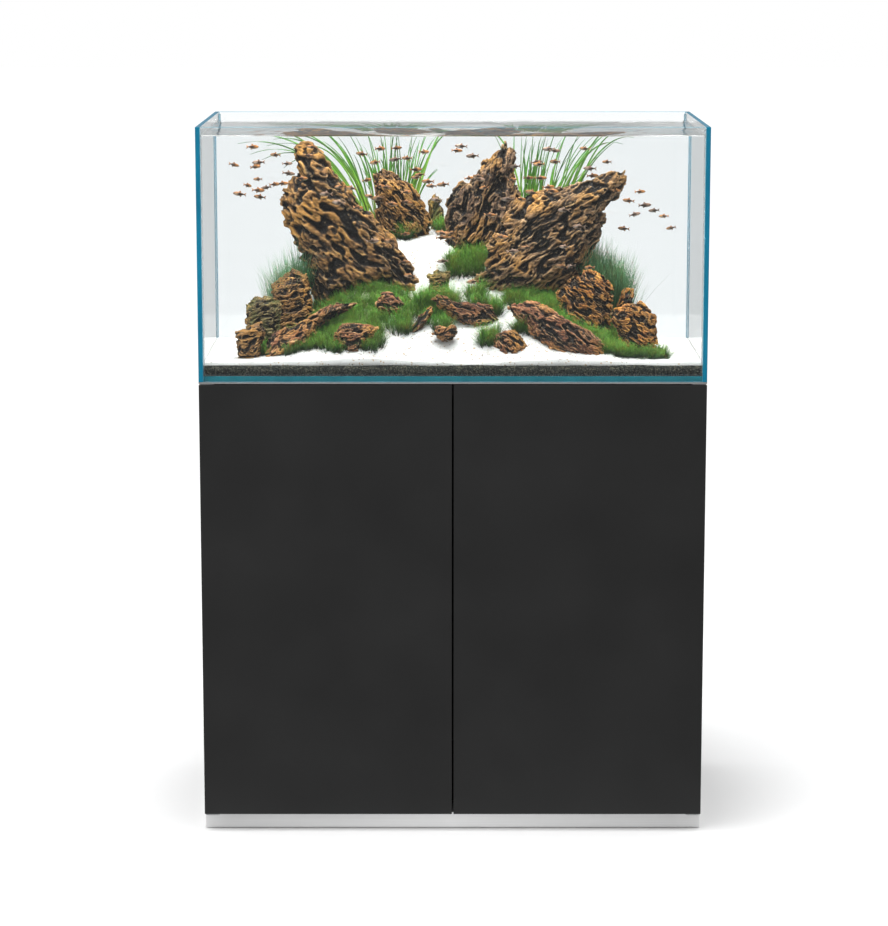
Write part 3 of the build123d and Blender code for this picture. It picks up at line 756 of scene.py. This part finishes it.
def carpet_roots(outlines, tufts, blades, length, width, lean, seed, bend=1.1):
    """Tufts of blades that fan out, scattered inside plan outlines of the drawn layout."""
    chance = random.Random(seed)
    patches = [[drawn_place(x, behind) for x, behind in outline] for outline in outlines]
    low_x = min(x for patch in patches for x, _ in patch)
    high_x = max(x for patch in patches for x, _ in patch)
    low_y = min(y for patch in patches for _, y in patch)
    high_y = max(y for patch in patches for _, y in patch)
    roots = []
    made = 0
    tries = 0
    while made < tufts and tries < tufts * 40:
        tries += 1
        x = chance.uniform(low_x, high_x)
        y = chance.uniform(low_y, high_y)
        if not any(inside(x, y, patch) for patch in patches):
            continue
        if free_ground(x, y) is None:
            continue
        made += 1
        tuft_length = length * chance.uniform(0.75, 1.15)
        tuft_shade = chance.uniform(0.15, 0.85)
        for _ in range(blades):
            heading = chance.uniform(0, 2 * math.pi)
            out = abs(chance.gauss(0, 1))
            root_x = x + 4 * MM * out * math.cos(heading)
            root_y = y + 4 * MM * out * math.sin(heading)
            z = free_ground(root_x, root_y)
            if z is None:
                continue
            roots.append((
                (root_x, root_y, z - 1 * MM),
                heading + chance.gauss(0, 0.5),
                tuft_length * chance.uniform(0.6, 1.15),
                width * chance.uniform(0.75, 1.25),
                min(1.2, lean * out),
                chance.uniform(-0.1, bend),
                min(1.0, max(0.0, tuft_shade + chance.gauss(0, 0.2))),
            ))
    return roots


# The grass runs from a near-black root to a bright tip: painted shade deep in the carpet and a painted
# highlight on the tips, over the leaves' own green.
hairgrass_green = leaf("hairgrass_leaf", (0.003, 0.016, 0.002), (0.018, 0.105, 0.008), (0.13, 0.36, 0.03))
tall_green = leaf("tall_grass_leaf", (0.003, 0.022, 0.006), (0.014, 0.12, 0.035), (0.09, 0.30, 0.12))
detail = 1.0
BLADE_WIDTH = 1.15 * MM
CARPET_LEAN = 0.42
TALL_LEAN = 0.11
TALL_BEND = 0.55

LEFT_CARPET = [(-362, 75), (-300, 50), (-262, 60), (-215, 28), (-135, 32), (-110, 66), (-75, 72), (-62, 92),
               (-10, 125), (6, 175), (-20, 192), (-150, 205), (-300, 222), (-360, 212), (-374, 120)]
RIGHT_CARPET = [(95, 150), (140, 130), (190, 100), (262, 45), (300, 38), (368, 55), (392, 85), (390, 120),
                (360, 195), (300, 215), (200, 215), (110, 210)]
MOUND_TUFT = [(-62, 136), (6, 132), (8, 147), (-58, 149)]
PATH_TUFTS = [
    [(-35, 85), (-8, 82), (-4, 104), (-30, 106)],
    [(48, 52), (82, 50), (88, 72), (55, 76)],
    [(30, 122), (88, 120), (90, 146), (34, 148)],
    [(112, 72), (140, 72), (138, 95), (115, 92)],
    [(30, 160), (62, 158), (62, 182), (32, 184)],
    [(-12, 222), (62, 212), (70, 245), (-10, 248)],
    [(-30, 330), (-8, 330), (-8, 368), (-30, 368)],
    [(-120, 298), (-80, 292), (-78, 325), (-116, 330)],
]

# Each stand of grass: node, plan outlines, tufts, blades in a tuft, length in mm, seed.
carpets = (
    ("hairgrass_left", [LEFT_CARPET], 720, 34, 25, 11),
    ("hairgrass_right", [RIGHT_CARPET], 560, 34, 25, 12),
    ("hairgrass_path", PATH_TUFTS, 190, 32, 33, 13),
)
for node, outlines, tufts, blades, length, seed in carpets:
    roots = carpet_roots(outlines, int(tufts * detail), blades, length * MM, BLADE_WIDTH, CARPET_LEAN, seed)
    if node == "hairgrass_path":
        roots += carpet_roots([MOUND_TUFT], int(34 * detail), 32, 54 * MM, BLADE_WIDTH, 0.3, 14)
    carpet = blade_mesh(node + "_leaves", roots, hairgrass_green)
    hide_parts(node)

tall_stands = (
    ("tall_grass_left", [[(-350, 205), (-292, 200), (-288, 238), (-342, 245)]], 56, 42, 124, 21),
    ("tall_grass_right", [[(245, 205), (335, 200), (350, 235), (255, 250)]], 116, 42, 120, 22),
)
for node, outlines, tufts, blades, length, seed in tall_stands:
    many = int(tufts * detail)
    roots = carpet_roots(outlines, many, blades, length * MM, BLADE_WIDTH, TALL_LEAN, seed, bend=TALL_BEND)
    stand = blade_mesh(node + "_leaves", roots, tall_green, joints=7)
    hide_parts(node)

ribbon_green = leaf("ribbon_leaf", (0.22, 0.36, 0.04), (0.12, 0.31, 0.035), (0.045, 0.20, 0.045), gloss=0.3)
LEAF_THICK = 0.45 * MM
LEAF_JOINTS = 16


def ribbon(root, top, sag_to, width, shade, vertices, faces, tones):
    """One ribbon leaf, a thin closed strip that rises from its root and trails under the surface."""
    start = len(vertices)
    root, top, sag_to = Vector(root), Vector(top), Vector(sag_to)
    previous = None
    for joint in range(LEAF_JOINTS + 1):
        share = joint / LEAF_JOINTS
        point = root * (1 - share) ** 2 + top * (2 * share * (1 - share)) + sag_to * share ** 2
        ahead = (top - root) * (2 * (1 - share)) + (sag_to - top) * (2 * share)
        ahead.normalize()
        across = Vector((1, 0.35 * math.sin(4 * share + shade * 9), 0))
        across = (across - ahead * across.dot(ahead)).normalized()
        normal = ahead.cross(across).normalized()
        half = width / 2 * min(1.0, 0.55 + 2 * share) * (1 - 0.85 * share ** 4)
        for u, v in ((-1, -1), (1, -1), (1, 1), (-1, 1)):
            vertices.append(point + across * (half * u) + normal * (LEAF_THICK / 2 * v))
            tones.append((share, shade))
        if previous is not None:
            for k in range(4):
                after = (k + 1) % 4
                ring = start + joint * 4
                faces.append((previous + k, previous + after, ring + after, ring + k))
        previous = start + joint * 4
    faces.append((start + 3, start + 2, start + 1, start))
    faces.append((previous, previous + 1, previous + 2, previous + 3))


def ribbon_stand(node, count, root_x, root_behind, fan, drift, seed, long_leaves=()):
    """A stand of ribbon leaves: fan is how far the tops spread, and drift how far they lean to one side."""
    chance = random.Random(seed)
    vertices, faces, tones = [], [], []
    surface = water_top - 2 * MM
    low_x, high_x = root_x
    for index in range(count):
        share = chance.random()
        x, y = drawn_place(low_x + (high_x - low_x) * share, chance.uniform(*root_behind))
        z = ground_height(x, y) - 2 * MM
        reach = chance.uniform(0.45, 1.0)
        spread = fan * (share - 0.5) * 2 + drift * chance.random() + chance.gauss(0, fan * 0.25)
        spread = spread * MM * reach
        height = (surface - z) * reach * chance.uniform(0.95, 1.05)
        depth = chance.gauss(0, 10) * MM
        top = (x + spread * 0.25, y + depth * 0.4, min(surface, z + height * 0.75))
        end = (x + spread, y + depth, min(surface, z + height))
        ribbon((x, y, z), top, end, chance.uniform(1.6, 3.1) * MM, chance.random(), vertices, faces, tones)
    for drawn_x, *bend_x, end_height in long_leaves:
        x, y = drawn_place(drawn_x, root_behind[0])
        top_x, end_x = (drawn_place(value, root_behind[0])[0] for value in bend_x)
        ribbon((x, y, ground_height(x, y)), (top_x, y, surface), (end_x, y, surface - end_height * MM),
               3.2 * MM, chance.random(), vertices, faces, tones)
    piece = new_piece(node + "_leaves", vertices, faces, ribbon_green)
    paint_points(piece.data, "tone", [(share, own, 0) for share, own in tones])
    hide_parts(node)
    return piece


ribbon_stand("vallisneria_left", 96, (-185, -85), (378, 412), 65, -40, 31, long_leaves=(
    (-172, -280, -420, 50), (-150, -230, -350, 14), (-168, -245, -385, 34), (-178, -255, -350, 75),
    (-170, -290, -445, 30), (-160, -260, -440, 12), (-165, -260, -400, 2), (-175, -265, -395, 60),
    (-170, -250, -370, 22), (-150, -240, -345, 6), (-165, -230, -330, 40),
    (-90, -40, -12, 4), (-95, -50, 10, 6), (-160, -225, -290, 0),
))
ribbon_stand("vallisneria_right", 110, (125, 225), (362, 405), 60, 60, 32, long_leaves=(
    (200, 290, 372, 18), (210, 270, 330, 2), (150, 130, 60, 3), (190, 260, 350, 30), (215, 285, 345, 8),
))


# ---------------------------------------------------------------- fish
def fish_shape():
    """One small fish, 1 unit long with its nose towards +X: points, faces and a colour for each point."""
    stations = ((0.50, 0.015, 0.010), (0.44, 0.075, 0.045), (0.34, 0.125, 0.070), (0.20, 0.155, 0.080),
                (0.05, 0.150, 0.072), (-0.10, 0.115, 0.055), (-0.22, 0.070, 0.034), (-0.30, 0.045, 0.020))
    sides = 10
    points = []
    colors = []
    faces = []
    for x, tall, wide in stations:
        for k in range(sides):
            turn = 2 * math.pi * k / sides
            up = math.sin(turn)
            points.append((x, wide * math.cos(turn), tall * up))
            if x < 0.10 and abs(up) < 0.62:
                color = (0.018, 0.015, 0.02)
            elif up < -0.6:
                color = (0.62, 0.52, 0.40)
            elif x > 0.40 and abs(up) < 0.5:
                color = (0.10, 0.06, 0.04)
            else:
                color = (0.50, 0.20, 0.05) if up > 0 else (0.60, 0.42, 0.27)
            colors.append(color)
    for station in range(len(stations) - 1):
        for k in range(sides):
            a, b = station * sides + k, station * sides + (k + 1) % sides
            faces.append((a, b, b + sides, a + sides))
    faces.append(tuple(reversed(range(sides))))
    last = (len(stations) - 1) * sides
    faces.append(tuple(last + k for k in range(sides)))
    fins = (
        ((-0.28, 0.03), (-0.50, 0.15), (-0.42, 0.0), (-0.50, -0.15), (-0.28, -0.03)),
        ((0.10, 0.145), (-0.02, 0.25), (-0.08, 0.20), (-0.08, 0.11)),
        ((0.02, -0.14), (-0.10, -0.22), (-0.14, -0.16), (-0.14, -0.09)),
    )
    for fin in fins:
        start = len(points)
        for y in (-0.006, 0.006):
            points.extend((x, y, z) for x, z in fin)
        colors.extend([(0.55, 0.27, 0.11)] * (2 * len(fin)))
        size = len(fin)
        faces.append(tuple(start + k for k in reversed(range(size))))
        faces.append(tuple(start + size + k for k in range(size)))
        for k in range(size):
            after = (k + 1) % size
            faces.append((start + k, start + after, start + size + after, start + size + k))
    return points, faces, colors


# Each group of the shoal: x range, height range above the tank's floor, distance behind the front, how many.
SHOAL = (
    ((-425, -335), (300, 400), (60, 260), 13),
    ((-330, -230), (330, 405), (60, 150), 7),
    ((-235, -90), (290, 400), (60, 150), 16),
    ((-90, 60), (290, 395), (90, 260), 18),
    ((-60, 0), (210, 270), (150, 260), 5),
    ((60, 200), (280, 400), (60, 150), 14),
    ((60, 300), (170, 290), (60, 130), 10),
    ((225, 330), (260, 400), (80, 200), 6),
    ((330, 425), (230, 330), (100, 300), 7),
    ((-200, 60), (150, 250), (60, 120), 7),
)


def shoal(seed):
    chance = random.Random(seed)
    points, faces, colors = fish_shape()
    all_points, all_faces, all_colors = [], [], []
    for x_range, height_range, behind_range, count in SHOAL:
        for _ in range(count):
            x, y = drawn_place(chance.uniform(*x_range), chance.uniform(*behind_range))
            place = Vector((x, y, tank_floor + chance.uniform(*height_range) * MM))
            length = chance.uniform(19, 25) * MM
            facing = math.pi if chance.random() < 0.6 else 0
            heading = Matrix.Rotation(facing + chance.gauss(0, 0.3), 3, "Z")
            turn = heading @ Matrix.Rotation(chance.gauss(0, 0.1), 3, "Y")
            near = rock_tree.find_nearest(place)
            if near[0] is not None and near[3] < 16 * MM:
                place.y = max(front_face + 28 * MM, place.y - 60 * MM)
            start = len(all_points)
            all_points.extend(place + turn @ (Vector(p) * length) for p in points)
            all_faces.extend(tuple(start + i for i in f) for f in faces)
            shade = chance.uniform(0.5, 1.1)
            silver = 0.55 if chance.random() < 0.3 else 0.0
            for color in colors:
                level = sum(color) / 3
                all_colors.append([(part + (level - part) * silver) * shade for part in color])
    piece = new_piece("fish_shoal", all_points, all_faces, fish_skin())
    paint_points(piece.data, "paint", all_colors)
    return piece


shoal(41)


# ---------------------------------------------------------------- water
def water_body():
    """The water, with slow waves on its top and a small meniscus where it climbs the glass."""
    gap = 0.25 * MM
    across, along = 240, 120
    low_x, high_x = -inner_x + gap, inner_x - gap
    low_y, high_y = -inner_y + gap, inner_y - gap

    def surface(x, y):
        edge = min(x - low_x, high_x - x, y - low_y, high_y - y)
        climb = 2.2 * MM * math.exp(-edge / (2.4 * MM))
        ripple = 0.35 * MM * noise.noise(Vector((x * 26, y * 26, 11)))
        swell = 0.5 * MM * noise.noise(Vector((x * 9, y * 9, 4)))
        return water_top + (ripple + swell) + climb

    def spaced(low, high, count):
        """Evenly spaced places, with a few more close to both ends for the meniscus."""
        ends = [0, 0.6 * MM, 1.4 * MM, 2.6 * MM, 4.4 * MM, 7 * MM]
        middle = np.linspace(low + 11 * MM, high - 11 * MM, count)
        return [low + e for e in ends] + list(middle) + [high - e for e in reversed(ends)]

    xs = spaced(low_x, high_x, across)
    ys = spaced(low_y, high_y, along)
    columns, rows = len(xs), len(ys)
    bottom = tank_floor + 0.15 * MM
    vertices = [(x, y, surface(x, y)) for y in ys for x in xs]
    top_count = len(vertices)
    rims = list(range(columns))
    rims += [j * columns + columns - 1 for j in range(1, rows)]
    rims += [(rows - 1) * columns + i for i in range(columns - 2, -1, -1)]
    rims += [j * columns for j in range(rows - 2, 0, -1)]
    vertices += [(vertices[i][0], vertices[i][1], bottom) for i in rims]
    faces = []
    for j in range(rows - 1):
        for i in range(columns - 1):
            a = j * columns + i
            faces.append((a, a + 1, a + columns + 1, a + columns))
    for k, i in enumerate(rims):
        after = (k + 1) % len(rims)
        faces.append((rims[after], i, top_count + k, top_count + after))
    faces.append(tuple(top_count + k for k in reversed(range(len(rims)))))
    piece = new_piece("water", vertices, faces, clear_water())
    flat = [len(f.vertices) > 4 or abs(f.normal.z) < 0.2 for f in piece.data.polygons]
    piece.data.polygons.foreach_set("use_smooth", [not f for f in flat])
    return piece


water_body()

# ---------------------------------------------------------------- studio
bpy.ops.mesh.primitive_plane_add(size=60, location=(0, 0, 0))
studio = bpy.context.object
studio.name = "studio_floor"
studio.data.materials.append(studio_floor())

# The studio is white where it is looked at, softer in the light it lends, and dim in reflections.
STUDIO_LIGHT = 0.66
BACKDROP_LIGHT = 1.0
REFLECTED_LIGHT = 0.26
CEILING_LIGHT = 2.0
world = bpy.data.worlds.new("studio")
bpy.context.scene.world = world
world.use_nodes = True
background = world.node_tree.nodes["Background"]
background.inputs["Color"].default_value = (1.0, 1.0, 1.0, 1)


def world_node(kind, **values):
    made = world.node_tree.nodes.new(kind)
    for key, value in values.items():
        made.inputs[key.replace("_", " ")].default_value = value
    return made


ray = world_node("ShaderNodeLightPath")
lent = world_node("ShaderNodeMapRange", To_Min=BACKDROP_LIGHT, To_Max=STUDIO_LIGHT)
strength = world_node("ShaderNodeMapRange", To_Max=REFLECTED_LIGHT)
world.node_tree.links.new(ray.outputs["Is Diffuse Ray"], lent.inputs["Value"])
world.node_tree.links.new(ray.outputs["Glossy Depth"], strength.inputs["Value"])
world.node_tree.links.new(lent.outputs["Result"], strength.inputs["To Min"])
world.node_tree.links.new(strength.outputs["Result"], background.inputs["Strength"])


def softbox(name, place, target, width, height, power):
    light = bpy.data.lights.new(name, "AREA")
    light.shape = "RECTANGLE"
    light.size = width
    light.size_y = height
    light.energy = power
    lamp = bpy.data.objects.new(name, light)
    lamp.location = place
    lamp.rotation_euler = (Vector(target) - Vector(place)).to_track_quat("-Z", "Y").to_euler()
    lamp.visible_camera = False
    bpy.context.scene.collection.objects.link(lamp)
    return lamp


tank_lamp = softbox("tank_light", (0.0, -0.16, 2.0), (0, 0, 1.0), 0.9, 0.3, 13)
tank_lamp.visible_glossy = False
softbox("left_softbox", (-3.2, -2.4, 2.2), (0, 0, 0.6), 1.6, 2.0, 26)
ceiling = bpy.data.lights.new("ceiling_light", "SUN")
ceiling.energy = CEILING_LIGHT
ceiling.angle = math.radians(50)
ceiling_lamp = bpy.data.objects.new("ceiling_light", ceiling)
ceiling_lamp.rotation_euler = (math.radians(14), math.radians(-6), 0)
bpy.context.scene.collection.objects.link(ceiling_lamp)

CAMERA_X = -0.0157
CAMERA_AWAY = 5.0
CAMERA_HEIGHT = 1.6061
CAMERA_PITCH = 9.649
CAMERA_LENS = 111.2
CAMERA_SHIFT = -0.045
camera_data = bpy.data.cameras.new("camera")
camera = bpy.data.objects.new("camera", camera_data)
bpy.context.scene.collection.objects.link(camera)
camera.location = (CAMERA_X, front_face - CAMERA_AWAY, CAMERA_HEIGHT)
camera.rotation_euler = (math.radians(90 - CAMERA_PITCH), 0, 0)
camera_data.sensor_width = 36
camera_data.lens = CAMERA_LENS
camera_data.shift_y = CAMERA_SHIFT
camera_data.clip_end = 100
bpy.context.scene.camera = camera
bpy.context.scene.view_settings.view_transform = "Standard"
